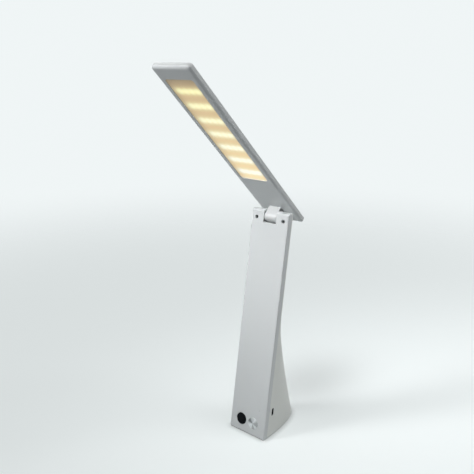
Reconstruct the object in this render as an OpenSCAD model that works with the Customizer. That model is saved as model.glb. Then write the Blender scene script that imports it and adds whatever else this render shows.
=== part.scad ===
// Folding desk lamp. A leaning column that is its own foot carries a flat light head on one stiff
// hinge. The head folds down over the column's front face, and its short tail swings behind the top.
// Millimetres. +X is the lamp's right side, -Y its front, +Z up. The origin is the centre of the
// foot, on the surface that the lamp stands on.

/* [Column] */
// Width of the column, the same all the way up
column_w = 50; // [46:1:60]
// Thickness of the slab above the flare
column_t = 9.6; // [9.4:0.1:12]
// Lean of the front face back from upright, in degrees
column_lean = 8.8; // [6:0.2:12]
// Distance up the front face from the table to the hinge axis
hinge_rise = 252.5; // [230:0.5:280]
// Rounding of the front face's two long edges
column_edge_r = 1.2; // [0.6:0.1:1.4]
// Wall of both column mouldings
wall = 1.6; // [1.4:0.1:1.8]

/* [Foot] */
// Depth of the foot from front to back
foot_depth = 79; // [72:1:90]
// Slope of the flare away from upright, in degrees
flare_angle = 20.3; // [18:0.1:24]
// Radius of the hollow curve between the slab and the flare
flare_r = 65; // [50:5:90]
// Squareness of the foot's outline, where 2 is an ellipse
foot_power = 2.2; // [2:0.1:2.6]
// Squareness of the slab's outline
slab_power = 4; // [3:0.5:6]
// Height of the shadow gap under the mouldings
sole_gap = 1; // [0.6:0.1:1.6]
// How far the sole stays inside the foot's outline
sole_inset = 0.9; // [0.7:0.1:2.5]
// Thickness of the bottom plate
plate_t = 2; // [1.6:0.1:3]
// Thickness of the steel weight
ballast_t = 8; // [5:0.5:10]

/* [Hinge] */
// Radius of the knuckle's barrel, whose front lies in the front face
barrel_r = 5.9; // [5.6:0.1:6.2]
// Width of the knuckle
knuckle_w = 16.2; // [14:0.2:17]
// Gap at each side of the knuckle
knuckle_gap = 0.4; // [0.3:0.05:0.6]
// Gap between the barrel and the floor of its notch
notch_gap = 0.6; // [0.4:0.1:1]
// Radius of the ears' round tops about the hinge axis
ear_r = 7.7; // [7.4:0.1:9]
// Distance from the hinge axis to the lit face of the head
hinge_stand = 10.3; // [9.8:0.1:12]
// Radius of the hinge pin
pin_r = 1.5; // [1.2:0.1:1.5]
// Radial running clearance of the pin in the bracket
pin_fit = 0.05; // [0.03:0.01:0.08]
// Thickness of the steel bracket
bracket_t = 1.2; // [1:0.1:1.3]
// Distance between the two screws in the ears
ear_screw_span = 36.3; // [35.8:0.1:37]
// How far the ear screws lie below the hinge axis
ear_screw_drop = 2; // [1.6:0.1:2.4]
// Radius of the round recess over each ear screw
ear_recess_r = 2.1; // [2:0.05:2.3]

/* [Head] */
// Lean of the head forward from upright as stored, in degrees
head_lean = 46; // [20:1:90]
// Width of the head
head_w = 50; // [46:1:54]
// Thickness of the head
head_t = 6; // [5.9:0.1:7.5]
// Height of the lower housing, up to the parting line
frame_h = 2.4; // [2.2:0.1:2.6]
// Distance from the hinge axis to the far end
head_reach = 221; // [203:1:228]
// Length of the tail behind the hinge axis
head_tail = 21.5; // [16:0.5:22]
// Radius of the head's four corners
head_corner_r = 4; // [3.8:0.1:6]
// Rounding of the edges round the lit face
face_edge_r = 3.6; // [2.6:0.1:3.7]
// Rounding of the edges round the top cover
cover_edge_r = 2; // [1:0.1:2.4]
// Wall of both head mouldings
head_wall = 1.4; // [1.2:0.1:1.5]

/* [Light] */
// Width of the lit panel
panel_w = 35; // [33:0.5:36]
// Length of the lit panel
panel_l = 149; // [140:1:150]
// Border between the panel and the far end
panel_border = 16; // [14:0.5:19]
// Corner radius of the panel
panel_corner_r = 3; // [1:0.5:4]
// Rows of light chips
chip_rows = 7; // [4:1:9]
// Chips in each row
chip_columns = 4; // [2:1:5]
// Distance between the rows
row_pitch = 20.1; // [12:0.1:20.2]
// Distance between chips in a row
chip_pitch = 7; // [6:0.1:9]

/* [Keys and charging] */
// Diameter of both round keys
key_d = 13.4; // [12:0.1:14]
// Distance between the key centres
key_span = 17; // [16.8:0.1:18.5]
// Sideways shift of the pair of keys
key_shift = -0.9; // [-1.5:0.1:1.5]
// Height of the keys up the front face
key_rise = 14.7; // [13.5:0.1:17]
// Radial gap round a key
key_gap = 0.3; // [0.2:0.05:0.4]
// How far a key stands proud of the front face
key_proud = 0.6; // [0.3:0.1:0.8]
// Travel of a key
key_travel = 0.5; // [0.3:0.1:0.6]
// Height of the charging slot up the front face
port_rise = 32; // [30:0.5:36]
// Distance of the charging slot behind the front face
port_depth = 11.7; // [11.4:0.1:13]

/* [Hidden] */
$fn = 48;

// Colours
shell_colour = [0.80, 0.82, 0.83];
side_colour = [0.74, 0.76, 0.76];
dark_colour = [0.10, 0.10, 0.11];
steel_colour = [0.70, 0.70, 0.72];
board_colour = [0.12, 0.36, 0.22];
lit_colour = [1.00, 0.93, 0.72];
key_colour = [0.04, 0.04, 0.05];
ring_colour = [0.78, 0.80, 0.81];

// Clearances
eps = 0.01;                 // overshoot of a cut past the face it opens
over = 1;                   // generous overshoot of a cut into free space
part_gap = 0.15;            // gap between pieces that are dropped in
screw_fit = 0.02;           // radial room of a screw in its pilot hole
free_fit = 0.15;            // radial room of a screw in a through hole

// Column places
axis_depth = barrel_r;      // the barrel's front is flush with the front face
front_y = -foot_depth / 2;
axis_y = front_y + hinge_rise * sin(column_lean) + axis_depth * cos(column_lean);
axis_z = hinge_rise * cos(column_lean) - axis_depth * sin(column_lean);
notch_w = knuckle_w + 2 * knuckle_gap;
notch_floor = hinge_rise - barrel_r - notch_gap;
column_in_w = column_w - 2 * wall;
lean_rise = tan(column_lean);

// ---------------------------------------------------------------- frames

// Column frame: y runs back from the front face, z runs up along it
module in_column() {
    translate([0, front_y, 0]) rotate([-column_lean, 0, 0]) children();
}

// Front face frame at a point of the front: z runs into the column
module on_front(x, rise) {
    in_column() translate([x, 0, rise]) rotate([-90, 0, 0]) children();
}

// Hinge frame of the column: x is the hinge axis, y back, z up the column
module at_hinge() {
    in_column() translate([0, axis_depth, hinge_rise]) children();
}

// Head frame: x is the hinge axis, y from the lit face towards the cover, z to the far end
module in_head() {
    translate([0, axis_y, axis_z]) rotate([head_lean, 0, 0]) children();
}

// A box given by its low and high corners
module span(low, high) {
    translate(low) cube(high - low);
}

// A cylinder along x between two places
module along_x(r, x0, x1) {
    translate([x0, 0, 0]) rotate([0, 90, 0]) cylinder(r = r, h = x1 - x0);
}

module both_sides() {
    children();
    mirror([1, 0, 0]) children();
}

// Everything lower than a height over the table
module below(height) {
    reach = 4 * foot_depth;
    translate([-reach / 2, -reach / 2, height - reach]) cube(reach);
}

// ---------------------------------------------------------------- column form

// The slab's back and the flare's back meet at this height before the hollow curve rounds them
flare_slope = tan(flare_angle);
slab_depth = column_t / cos(column_lean);
meet_z = (foot_depth - slab_depth) / (lean_rise + flare_slope);
meet_y = meet_z * lean_rise + slab_depth;
curve_turn = (flare_angle + column_lean) / 2;
curve_reach = flare_r * tan(curve_turn);
curve_top = meet_z + curve_reach * cos(column_lean);
curve_foot = meet_z - curve_reach * cos(flare_angle);
curve_aim = 90 + (column_lean - flare_angle) / 2;
curve_y = meet_y + sin(curve_aim) * flare_r / cos(curve_turn);
curve_z = meet_z + cos(curve_aim) * flare_r / cos(curve_turn);

// Distance of the column's back behind the foot's front edge, at a height
function back_at(z) =
    z >= curve_top ? z * lean_rise + slab_depth :
    z <= curve_foot ? foot_depth - z * flare_slope :
    curve_y - sqrt(pow(flare_r, 2) - pow(z - curve_z, 2));

// Depth of the parting plane behind the foot's front edge, at a height
function parting_at(z) = z * lean_rise + axis_depth / cos(column_lean);

// How far the outline has turned from the slab's to the foot's
function flare_share(z) =
    let (depth = back_at(z) - z * lean_rise)
    min(1, max(0, (depth - slab_depth) / (foot_depth - slab_depth)));

function outline_power(z) = slab_power + (foot_power - slab_power) * sqrt(flare_share(z));

// Half outline of the column behind the parting plane, drawn in by an inset, as [x, y] points
function outline(z, inset, steps) =
    let (
        power = 2 / outline_power(z),
        y0 = parting_at(z),
        y1 = back_at(z) - inset / cos(flare_angle),
        half = column_w / 2 - inset
    )
    [for (i = [0 : steps])
        let (turn = -90 + 180 * i / steps, side = sin(turn), back = cos(turn))
        [-sign(side) * half * pow(abs(side), power), front_y + y0 + (y1 - y0) * pow(abs(back), power)]];

// Half width of the column at a height and a depth behind the foot's front edge
function half_at(z, depth, inset) =
    let (
        power = outline_power(z),
        y0 = parting_at(z),
        y1 = back_at(z) - inset / cos(flare_angle),
        share = max(0, (depth - y0) / (y1 - y0))
    )
    (column_w / 2 - inset) * pow(1 - pow(share, power), 1 / power);

// Solid of the column behind the parting plane; lead moves its front wall forward past that plane
module back_form(inset, low, high, lead) {
    steps = 24;
    foot_steps = 9;
    curve_steps = 8;
    levels = concat(
        [for (i = [0 : foot_steps - 1]) low + (curve_foot - low) * i / foot_steps],
        [for (i = [0 : curve_steps]) curve_foot + (curve_top - curve_foot) * i / curve_steps],
        [high]
    );
    rings = [for (z = levels)
        let (half = outline(z, inset, steps), x = half[0][0], y = front_y + parting_at(z) - lead)
        [for (p = concat([[x, y]], lead > 0 ? half : [for (k = [1 : steps - 1]) half[k]], [[-x, y]]))
            [p[0], p[1], z]]];
    n = len(rings[0]);
    m = len(rings);
    points = [for (ring = rings) for (p = ring) p];
    walls = [for (j = [0 : m - 2]) for (i = [0 : n - 1])
        let (a = j * n + i, b = j * n + (i + 1) % n)
        each [[a, b + n, b], [a, a + n, b + n]]];
    polyhedron(points, concat([[for (i = [0 : n - 1]) i]], walls, [[for (i = [0 : n - 1]) m * n - 1 - i]]));
}

// What lies under the round tops of the ears, in the hinge frame
module ear_round(r) {
    far = 2 * hinge_rise;
    span([-column_w, -column_w, -far], [column_w, 2 * foot_depth, 0]);
    along_x(r, -column_w, column_w);
}

// ---------------------------------------------------------------- column mouldings

// Outline of the front moulding across the column: square at the back, rounded at the front
module front_outline() {
    half = column_w / 2;
    r = column_edge_r;
    union() {
        translate([-half, r]) square([column_w, axis_depth - r]);
        translate([r - half, 0]) square([column_w - 2 * r, axis_depth]);
        for (side = [-1, 1]) translate([side * (half - r), r]) circle(r);
    }
}

// Charging socket: a flat round-ended tube
port_l = 8.94;
port_h = 3.26;
port_len = 7.3;

ear_wall = 1.5;             // wall at each side of the notch
boss_r = 3.2;               // tube round an ear screw's recess
recess_depth = 3.4;         // floor of that recess
recess_floor = 1.2;         // thickness under the screw head
screw_x = ear_screw_span / 2;
screw_rise = hinge_rise - ear_screw_drop;
screw_r = 1.1;              // shank of the small self-tapping screws
screw_head_r = 1.9;
screw_head_h = 1.3;
rear_boss_r = 2.7;          // pillar under an ear screw in the rear moulding
ear_back_wall = 1;          // thinned back wall in the ears, to clear the hinge's nuts

board_t = 1.2;
board_front = port_depth - port_h / 2 - board_t;
board_half = column_in_w / 2 - 2 * part_gap;
board_low = 7;
board_high = 44;
post_r = 2.2;               // pillars that carry the board
post_at = [for (x = [post_r + 1 - board_half, board_half - post_r - 1], z = [board_low + 4, board_high - 3.5])
    [x, z]];

key_x = [key_shift - key_span / 2, key_shift + key_span / 2];
lens_r = 0.5;
lens_inset = 10.5;          // from the pinhole to the side of the column
lens_x = column_w / 2 - lens_inset;
lens_rise = 32.4;

// The notch and its walls, in the column frame
module notch(grow) {
    half = notch_w / 2 + grow;
    span([-half, -over, notch_floor - grow], [half, column_t + over, hinge_rise + 2 * ear_r]);
}

// Hole through the notch's walls that lets the pin turn
module pin_passage() {
    at_hinge() along_x(pin_r + knuckle_gap, -notch_w / 2 - ear_wall - over, notch_w / 2 + ear_wall + over);
}

module front_cavity() {
    half = column_in_w / 2;
    difference() {
        intersection() {
            in_column() span([-half, wall, -over], [half, axis_depth + over, hinge_rise + ear_r]);
            at_hinge() ear_round(ear_r - wall);
        }
        in_column() notch(ear_wall);
        in_column() for (x = [-screw_x, screw_x])
            translate([x, 0, screw_rise]) rotate([-90, 0, 0])
                cylinder(r = boss_r, h = recess_depth + recess_floor);
    }
}

module front_cover() {
    color(shell_colour)
    difference() {
        union() {
            difference() {
                intersection() {
                    in_column() linear_extrude(hinge_rise + ear_r) front_outline();
                    at_hinge() ear_round(ear_r);
                }
                front_cavity();
            }
            for (p = post_at) on_front(p[0], p[1]) translate([0, 0, wall - eps])
                cylinder(r = post_r, h = board_front - wall + eps);
        }
        for (p = post_at) on_front(p[0], p[1]) translate([0, 0, board_front + board_t - board_screw_len])
            cylinder(r = screw_r + screw_fit, h = board_screw_len);
        in_column() notch(0);
        pin_passage();
        for (x = [-screw_x, screw_x]) on_front(x, screw_rise) {
            translate([0, 0, -over]) cylinder(r = ear_recess_r, h = recess_depth + over);
            cylinder(r = screw_r + free_fit, h = axis_depth);
        }
        for (x = key_x) on_front(x, key_rise)
            translate([0, 0, -over]) cylinder(r = key_d / 2 + key_gap, h = wall + 2 * over);
        on_front(lens_x, lens_rise) translate([0, 0, -over]) cylinder(r = lens_r + part_gap, h = wall + 2 * over);
        below(sole_gap);
    }
}

slot_room = 0.12;           // room of the slot round the socket's mouth
port_mouth = column_in_w / 2 - part_gap;

// Round-ended bar along x, centred on the socket's place
module port_bar(grow, x0, x1) {
    r = port_h / 2 + grow;
    reach = port_l / 2 + grow - r;
    in_column() translate([0, port_depth, port_rise]) {
        span([x0, -r, -reach], [x1, r, reach]);
        for (end = [-reach, reach]) translate([0, 0, end]) along_x(r, x0, x1);
    }
}

base_boss_r = 3;
base_boss_h = 12;
base_boss_low = sole_gap + plate_t + part_gap;
base_screw_len = base_boss_h - 2;
boss_bite = 0.8;            // how deep a boss is sunk in the wall beside it
base_screw_depth = [17, 55];
base_screw_at = [for (depth = base_screw_depth)
    [half_at(base_boss_low + base_boss_h, depth, wall) - base_boss_r + boss_bite, front_y + depth]];

module rear_cover() {
    ear_low = notch_floor - ear_wall;
    half = column_in_w / 2;
    color(side_colour)
    difference() {
        intersection() {
            union() {
                difference() {
                    back_form(0, sole_gap, axis_z + 2 * ear_r, 0);
                    difference() {
                        intersection() {
                            back_form(wall, -over, axis_z + 2 * ear_r, over);
                            at_hinge() ear_round(ear_r - wall);
                        }
                        in_column() notch(ear_wall);
                    }
                }
                in_column() for (x = [-screw_x, screw_x])
                    translate([x, axis_depth, screw_rise]) rotate([-90, 0, 0])
                        cylinder(r = rear_boss_r, h = column_t - axis_depth - ear_back_wall);
                intersection() {
                    both_sides() for (p = base_screw_at)
                        translate([p[0], p[1], base_boss_low]) cylinder(r = base_boss_r, h = base_boss_h);
                    back_form(eps, sole_gap, axis_z, 0);
                }
            }
            at_hinge() ear_round(ear_r);
        }
        in_column() notch(0);
        pin_passage();
        // thinner back wall beside the hinge's cheeks, washers and nuts
        in_column() both_sides()
            span([notch_w / 2 + ear_wall, axis_depth - over, hinge_rise - ear_r],
                 [screw_x - rear_boss_r + part_gap, column_t - ear_back_wall, hinge_rise + ear_r - wall * 2]);
        for (x = [-screw_x, screw_x]) on_front(x, screw_rise)
            cylinder(r = screw_r + screw_fit, h = column_t - ear_back_wall);
        port_bar(slot_room, half - over, column_w);
        both_sides() for (p = base_screw_at)
            translate([p[0], p[1], 0]) cylinder(r = screw_r + screw_fit, h = base_boss_h);
    }
}

outline_steps = 48;

// Outline of the foot inside its walls, as a closed polygon
function foot_outline(z, inset, front_gap) =
    let (half = outline(z, inset, outline_steps), y = front_y + front_gap)
    concat([[half[0][0], y]], half, [[half[outline_steps][0], y]]);

plate_front = wall / cos(column_lean) + (sole_gap + plate_t) * lean_rise + part_gap;

module base_plate() {
    color(shell_colour)
    difference() {
        translate([0, 0, sole_gap]) linear_extrude(plate_t)
            polygon(foot_outline(sole_gap + plate_t, wall + part_gap, plate_front));
        both_sides() for (p = base_screw_at) translate([p[0], p[1], 0]) {
            cylinder(r = screw_r + free_fit, h = sole_gap + plate_t + over);
            cylinder(r = screw_head_r + free_fit, h = sole_gap + screw_head_h);
        }
    }
}

module sole_pad() {
    color(dark_colour)
    linear_extrude(sole_gap) polygon(foot_outline(0, sole_inset, sole_inset));
}

ballast_low = sole_gap + plate_t;
ballast_top = ballast_low + ballast_t;
ballast_front = 20;         // room in front of the weight for the board
ballast_inset = wall + 2 * base_boss_r + 3 * part_gap;  // keeps the weight between the screw bosses
module ballast_plate() {
    color(steel_colour)
    translate([0, 0, ballast_low]) linear_extrude(ballast_t) intersection() {
        polygon(outline(ballast_top, ballast_inset, outline_steps));
        translate([-column_w, front_y + ballast_front]) square(2 * column_w);
    }
}

module base_screws() {
    color(steel_colour)
    both_sides() for (p = base_screw_at) translate([p[0], p[1], sole_gap])
        difference() {
            union() {
                cylinder(r = screw_head_r, h = screw_head_h);
                cylinder(r = screw_r, h = base_screw_len);
            }
            translate([0, 0, -eps]) cylinder(r = screw_r / 2, h = screw_head_h / 2);
        }
}

// ---------------------------------------------------------------- electrics of the column

module main_board() {
    color(board_colour)
    difference() {
        in_column() span([-board_half, board_front, board_low],
                         [board_half, board_front + board_t, board_high]);
        for (p = post_at) on_front(p[0], p[1]) cylinder(r = screw_r + free_fit, h = port_depth);
    }
}

board_screw_len = 5;
module board_screws() {
    color(steel_colour)
    for (p = post_at) on_front(p[0], p[1]) translate([0, 0, board_front + board_t]) {
        cylinder(r = screw_head_r, h = screw_head_h);
        translate([0, 0, -board_screw_len]) cylinder(r = screw_r, h = board_screw_len + eps);
    }
}

switch_w = 6;
switch_h = 3.4;
plunger_r = 1.5;
plunger_h = 0.5;
module key_switches() {
    color(dark_colour)
    for (x = key_x) on_front(x, key_rise) {
        translate([-switch_w / 2, -switch_w / 2, board_front - switch_h]) cube([switch_w, switch_w, switch_h]);
        translate([0, 0, board_front - switch_h - plunger_h]) cylinder(r = plunger_r, h = plunger_h + eps);
    }
}

module charge_port() {
    tube_wall = 0.3;
    tongue_t = 0.7;
    tongue_half = port_l / 2 - 1.2;
    color(steel_colour)
    union() {
        difference() {
            port_bar(0, port_mouth - port_len, port_mouth);
            port_bar(-tube_wall, port_mouth - port_len + 2 * tube_wall, port_mouth + over);
        }
        in_column() translate([0, port_depth, port_rise])
            span([port_mouth - port_len + tube_wall, -tongue_t / 2, -tongue_half],
                 [port_mouth - tube_wall, tongue_t / 2, tongue_half]);
    }
}

module indicator_lens() {
    color(lit_colour)
    on_front(lens_x, lens_rise) translate([0, 0, part_gap]) cylinder(r = lens_r, h = board_front - part_gap);
}

cell_r = 9.2;               // the common small rechargeable cylinder cell
cell_l = 65;
cap_r = 3;
cap_h = 1;
cell_room = 1.5;            // room between the board and the cell
cell_depth = board_front + board_t + cell_room + cell_r;
cradle_wall = 1.2;
cell_low = (ballast_top + (cell_depth + cell_r) * sin(column_lean)) / cos(column_lean) + cradle_wall;
module battery_cell() {
    color([0.25, 0.45, 0.65])
    in_column() translate([0, cell_depth, cell_low]) {
        cylinder(r = cell_r, h = cell_l);
        translate([0, 0, cell_l - eps]) cylinder(r = cap_r, h = cap_h);
    }
}

// Cup with a half-open front that grips the lower half of the cell
module battery_cradle() {
    inner = cell_r + part_gap;
    mouth = cell_depth - cell_r / 2;
    color(dark_colour)
    difference() {
        in_column() translate([0, cell_depth, 0]) cylinder(r = inner + cradle_wall, h = cell_low + cell_l / 2);
        in_column() translate([0, cell_depth, cell_low - part_gap]) cylinder(r = inner, h = cell_l);
        in_column() span([-column_w, -over, cell_low], [column_w, mouth, hinge_rise]);
        in_column() span([-column_w, -over, 0], [column_w, board_front + board_t + part_gap, hinge_rise]);
        below(ballast_top);
    }
}

lead_w = 3;
lead_t = 0.8;
lead_x = -14;
lead_tail = 6;              // length soldered to the board
lead_ramp = 14;             // where the lead has reached the front moulding
// Flat lead from the board up the back of the front moulding to the bracket
module column_lead() {
    low = board_high - lead_tail;
    bend = board_high + lead_ramp;
    top = bracket_low - lead_t;
    y0 = board_front - lead_t;
    y1 = wall;
    color([0.8, 0.2, 0.15])
    in_column() translate([lead_x - lead_w / 2, 0, 0]) rotate([90, 0, 90]) linear_extrude(lead_w)
        polygon([[y0, low], [y0 + lead_t, low], [y0 + lead_t, board_high + lead_t], [y1 + lead_t, bend],
                 [y1 + lead_t, top], [y1, top], [y1, bend - lead_t], [y0, board_high]]);
}

// ---------------------------------------------------------------- hinge

play = 0.1;                 // room between stacked hinge pieces
cheek_r = column_t - ear_back_wall - axis_depth - play;
cheek_x = notch_w / 2 + ear_wall + play;
bracket_y = recess_depth + recess_floor;
bracket_low = notch_floor - ear_wall - 9;
bracket_slack = 0.8;        // the cheeks' lower parts are narrower than their eyes
tab_r = 2.35;
tab_top = hinge_rise - cheek_r - 1;

module hinge_bracket() {
    half = column_in_w / 2 - 2 * part_gap;
    color(steel_colour)
    difference() {
        union() {
            // web under the notch and the two tabs beside it
            in_column() span([-half, bracket_y, bracket_low],
                             [half, bracket_y + bracket_t, notch_floor - ear_wall - part_gap]);
            both_sides() {
                in_column() span([cheek_x, bracket_y, bracket_low],
                                 [half, bracket_y + bracket_t, tab_top]);
                in_column() translate([screw_x, bracket_y, screw_rise]) rotate([-90, 0, 0])
                    cylinder(r = tab_r, h = bracket_t);
                at_hinge() along_x(cheek_r, cheek_x, cheek_x + bracket_t);
                in_column() span([cheek_x, axis_depth - cheek_r, bracket_low],
                                 [cheek_x + bracket_t, axis_depth + cheek_r - bracket_slack, hinge_rise]);
            }
        }
        at_hinge() along_x(pin_r + pin_fit, -column_w, column_w);
        for (x = [-screw_x, screw_x]) on_front(x, screw_rise) cylinder(r = screw_r + free_fit, h = column_t);
    }
}

module ear_screws() {
    color(steel_colour)
    for (x = [-screw_x, screw_x]) on_front(x, screw_rise)
        difference() {
            union() {
                translate([0, 0, recess_depth - screw_head_h]) cylinder(r = screw_head_r, h = screw_head_h);
                translate([0, 0, recess_depth - eps])
                    cylinder(r = screw_r, h = column_t - ear_back_wall - recess_depth - part_gap);
            }
            translate([0, 0, recess_depth - screw_head_h - eps]) cylinder(r = screw_r / 2, h = screw_head_h / 2);
        }
}

knuckle_edge_r = 0.8;
knuckle_screw_x = 4.6;
knuckle_screw_len = 5.4;

// Barrel with rounded ends and a neck up to the head's lit face
module hinge_knuckle() {
    half = knuckle_w / 2;
    r = knuckle_edge_r;
    color(shell_colour)
    in_head() difference() {
        union() {
            translate([-half, 0, 0]) rotate([0, 90, 0]) rotate_extrude() {
                square([barrel_r - r, knuckle_w]);
                translate([0, r]) square([barrel_r, knuckle_w - 2 * r]);
                for (z = [r, knuckle_w - r]) translate([barrel_r - r, z]) circle(r);
            }
            rotate([-90, 0, 0]) linear_extrude(hinge_stand) {
                square([knuckle_w - 2 * r, 2 * barrel_r], center = true);
                square([knuckle_w, 2 * (barrel_r - r)], center = true);
                for (x = [r - half, half - r], z = [r - barrel_r, barrel_r - r]) translate([x, z]) circle(r);
            }
        }
        along_x(pin_r, -column_w, column_w);
        for (x = [-knuckle_screw_x, knuckle_screw_x])
            translate([x, hinge_stand - knuckle_screw_len, 0]) rotate([-90, 0, 0])
                cylinder(r = screw_r + screw_fit, h = knuckle_screw_len + over);
    }
}

washer_t = 0.5;
washer_r = cheek_r - 2 * play;
washer_x = cheek_x + bracket_t + play;
washer_pitch = washer_t + play / 2;
nut_t = 1.8;
nut_x = washer_x + 2 * washer_pitch;
pin_end = nut_x + nut_t + 3 * play;

module hinge_pin() {
    color(steel_colour)
    in_head() along_x(pin_r, -pin_end, pin_end);
}

module friction_washers() {
    color(steel_colour)
    in_head() both_sides() for (k = [0, 1])
        translate([washer_x + k * washer_pitch, 0, 0])
            difference() {
                along_x(washer_r, 0, washer_t);
                along_x(pin_r, -over, washer_t + over);
            }
}

module hinge_nuts() {
    color(steel_colour)
    in_head() both_sides() translate([nut_x, 0, 0])
        difference() {
            rotate([0, 90, 0]) cylinder(r = washer_r, h = nut_t, $fn = 6);
            along_x(pin_r, -over, nut_t + over);
        }
}

// ---------------------------------------------------------------- head

head_l = head_reach + head_tail;
face_y = hinge_stand;       // the lit face in the head frame
part_y = face_y + frame_h;
cover_y = face_y + head_t;

// Flat bar across x with its low long edges rounded, as a profile in x and y
module low_rounded(w, h, r) {
    translate([-w / 2, r]) square([w, h - r]);
    translate([r - w / 2, 0]) square([w - 2 * r, h]);
    intersection() {
        translate([-w / 2, 0]) square([w, h]);
        for (side = [-1, 1]) translate([side * (w / 2 - r), r]) circle(r);
    }
}

// The same bar with its upper long edges rounded as well
module edged_profile(w, h, low_r, high_r) {
    intersection() {
        low_rounded(w, h, low_r);
        translate([0, h]) mirror([0, 1]) low_rounded(w, h, high_r);
    }
}

// Slab with round corners and rounded rims all the way round: w along x, l along z, h along y
module edged_slab(w, l, h, corner, low_r, high_r) {
    union() {
        translate([0, 0, corner]) linear_extrude(l - 2 * corner) edged_profile(w, h, low_r, high_r);
        translate([corner - w / 2, 0, l / 2]) rotate([0, 90, 0]) linear_extrude(w - 2 * corner)
            edged_profile(l, h, low_r, high_r);
        for (x = [corner - w / 2, w / 2 - corner], z = [corner, l - corner])
            translate([x, 0, z]) rotate([-90, 0, 0]) rotate_extrude() intersection() {
                edged_profile(2 * corner, h, low_r, high_r);
                square([corner, h]);
            }
    }
}

// The closed skin of the head, which the parting line divides into two mouldings
module head_skin() {
    difference() {
        translate([0, face_y, -head_tail])
            edged_slab(head_w, head_l, head_t, head_corner_r, face_edge_r, cover_edge_r);
        translate([0, face_y + head_wall, head_wall - head_tail])
            edged_slab(head_w - 2 * head_wall, head_l - 2 * head_wall, head_t - 2 * head_wall,
                       head_corner_r - head_wall / 2, face_edge_r - head_wall,
                       cover_edge_r - head_wall / 2);
    }
}

// All of the head that lies on one side of the parting line
module beyond_parting(low, high) {
    translate([-head_w / 2 - over, low, -head_tail - over])
        cube([head_w + 2 * over, high - low, head_l + 2 * over]);
}

panel_far = head_reach - panel_border;
panel_near = panel_far - panel_l;

least_corner_r = 0.5;

// Round-cornered plate in the plane of the panel, grown all round, between two heights
module panel_plate(grow, y0, y1) {
    r = max(panel_corner_r + grow, least_corner_r);
    w = panel_w + 2 * grow;
    l = panel_l + 2 * grow;
    translate([0, y0, panel_near - grow]) rotate([-90, 0, 0]) translate([0, -l / 2, 0])
        linear_extrude(y1 - y0) {
            square([w - 2 * r, l], center = true);
            square([w, l - 2 * r], center = true);
            for (x = [r - w / 2, w / 2 - r], z = [r - l / 2, l / 2 - r]) translate([x, z]) circle(r);
        }
}

flange = 1.5;               // width of the diffuser's rim behind the window
flange_t = 1;
clip_l = 12;
clip_t = 1;
clip_drop = 0.5;
clip_inset = 1.1;           // keeps the tongues clear of the rounded wall below the parting line
clip_at = [0.1, 0.37, 0.63, 0.9];

module head_frame() {
    color(shell_colour)
    in_head() difference() {
        head_skin();
        beyond_parting(part_y, cover_y + over);
        panel_plate(0, face_y - over, face_y + head_wall + over);
        for (x = [-knuckle_screw_x, knuckle_screw_x])
            translate([x, face_y - over, 0]) rotate([-90, 0, 0])
                cylinder(r = screw_r + free_fit, h = head_wall + 2 * over);
    }
}

module head_cover() {
    clip_x = head_w / 2 - head_wall - clip_inset - clip_t;
    color(side_colour)
    in_head() union() {
        difference() {
            head_skin();
            beyond_parting(face_y - over, part_y);
        }
        // snap tongues that reach down inside the lower housing
        both_sides() for (share = clip_at)
            translate([clip_x, part_y - clip_drop, share * head_l - head_tail - clip_l / 2])
                cube([clip_t, clip_drop + cover_y - part_y - head_wall / 2, clip_l]);
    }
}

diffuser_recess = 0.2;
module diffuser() {
    color(lit_colour)
    in_head() union() {
        panel_plate(-part_gap, face_y + diffuser_recess, face_y + head_wall + eps);
        panel_plate(flange, face_y + head_wall, face_y + head_wall + flange_t);
    }
}

light_board_t = 1;
light_board_y = cover_y - head_wall - light_board_t - part_gap;
chip_h = 0.7;
tray_low = face_y + head_wall + flange_t;

module reflector_tray() {
    color("white")
    in_head() difference() {
        panel_plate(flange, tray_low, light_board_y);
        panel_plate(0, tray_low - over, light_board_y + over);
    }
}

module light_board() {
    color([0.9, 0.9, 0.88])
    in_head() panel_plate(flange, light_board_y, light_board_y + light_board_t);
}

module light_chips() {
    chip = [3.5, chip_h, 2.8];
    color([1, 0.85, 0.4])
    in_head() for (row = [0 : chip_rows - 1], column = [0 : chip_columns - 1])
        translate([(column - (chip_columns - 1) / 2) * chip_pitch - chip[0] / 2, light_board_y - chip_h,
                   panel_near + panel_l / 2 + (row - (chip_rows - 1) / 2) * row_pitch - chip[2] / 2])
            cube(chip);
}

module knuckle_screws() {
    shank = knuckle_screw_len + head_wall - 3 * part_gap;
    color(steel_colour)
    in_head() for (x = [-knuckle_screw_x, knuckle_screw_x])
        translate([x, face_y + head_wall, 0]) rotate([-90, 0, 0]) {
            cylinder(r = screw_head_r, h = screw_head_h);
            translate([0, 0, -shank]) cylinder(r = screw_r, h = shank + eps);
        }
}

// Flat lead along the lower housing, which climbs to the near edge of the light board
module head_lead() {
    start = barrel_r + 2;
    pad = 2;                // length soldered to the board
    end = panel_near - flange;
    rise = light_board_y - face_y - head_wall;
    color([0.8, 0.2, 0.15])
    in_head() translate([lead_w / 2, face_y + head_wall, 0]) rotate([0, -90, 0]) linear_extrude(lead_w)
        polygon([[start, 0], [end - 2 * rise, 0], [end - pad, rise], [end, rise], [end, rise + lead_t],
                 [end - pad - lead_t, rise + lead_t], [end - 2 * rise - lead_t, lead_t], [start, lead_t]]);
}

// ---------------------------------------------------------------- keys

key_flange = 1;             // rim that stops a key behind the front wall
key_flange_t = 0.8;
key_edge_r = 0.5;
key_rest = wall + key_gap;
stem_r = 1.4;
stem_end = board_front - switch_h - plunger_h - key_travel - key_gap;

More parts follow.
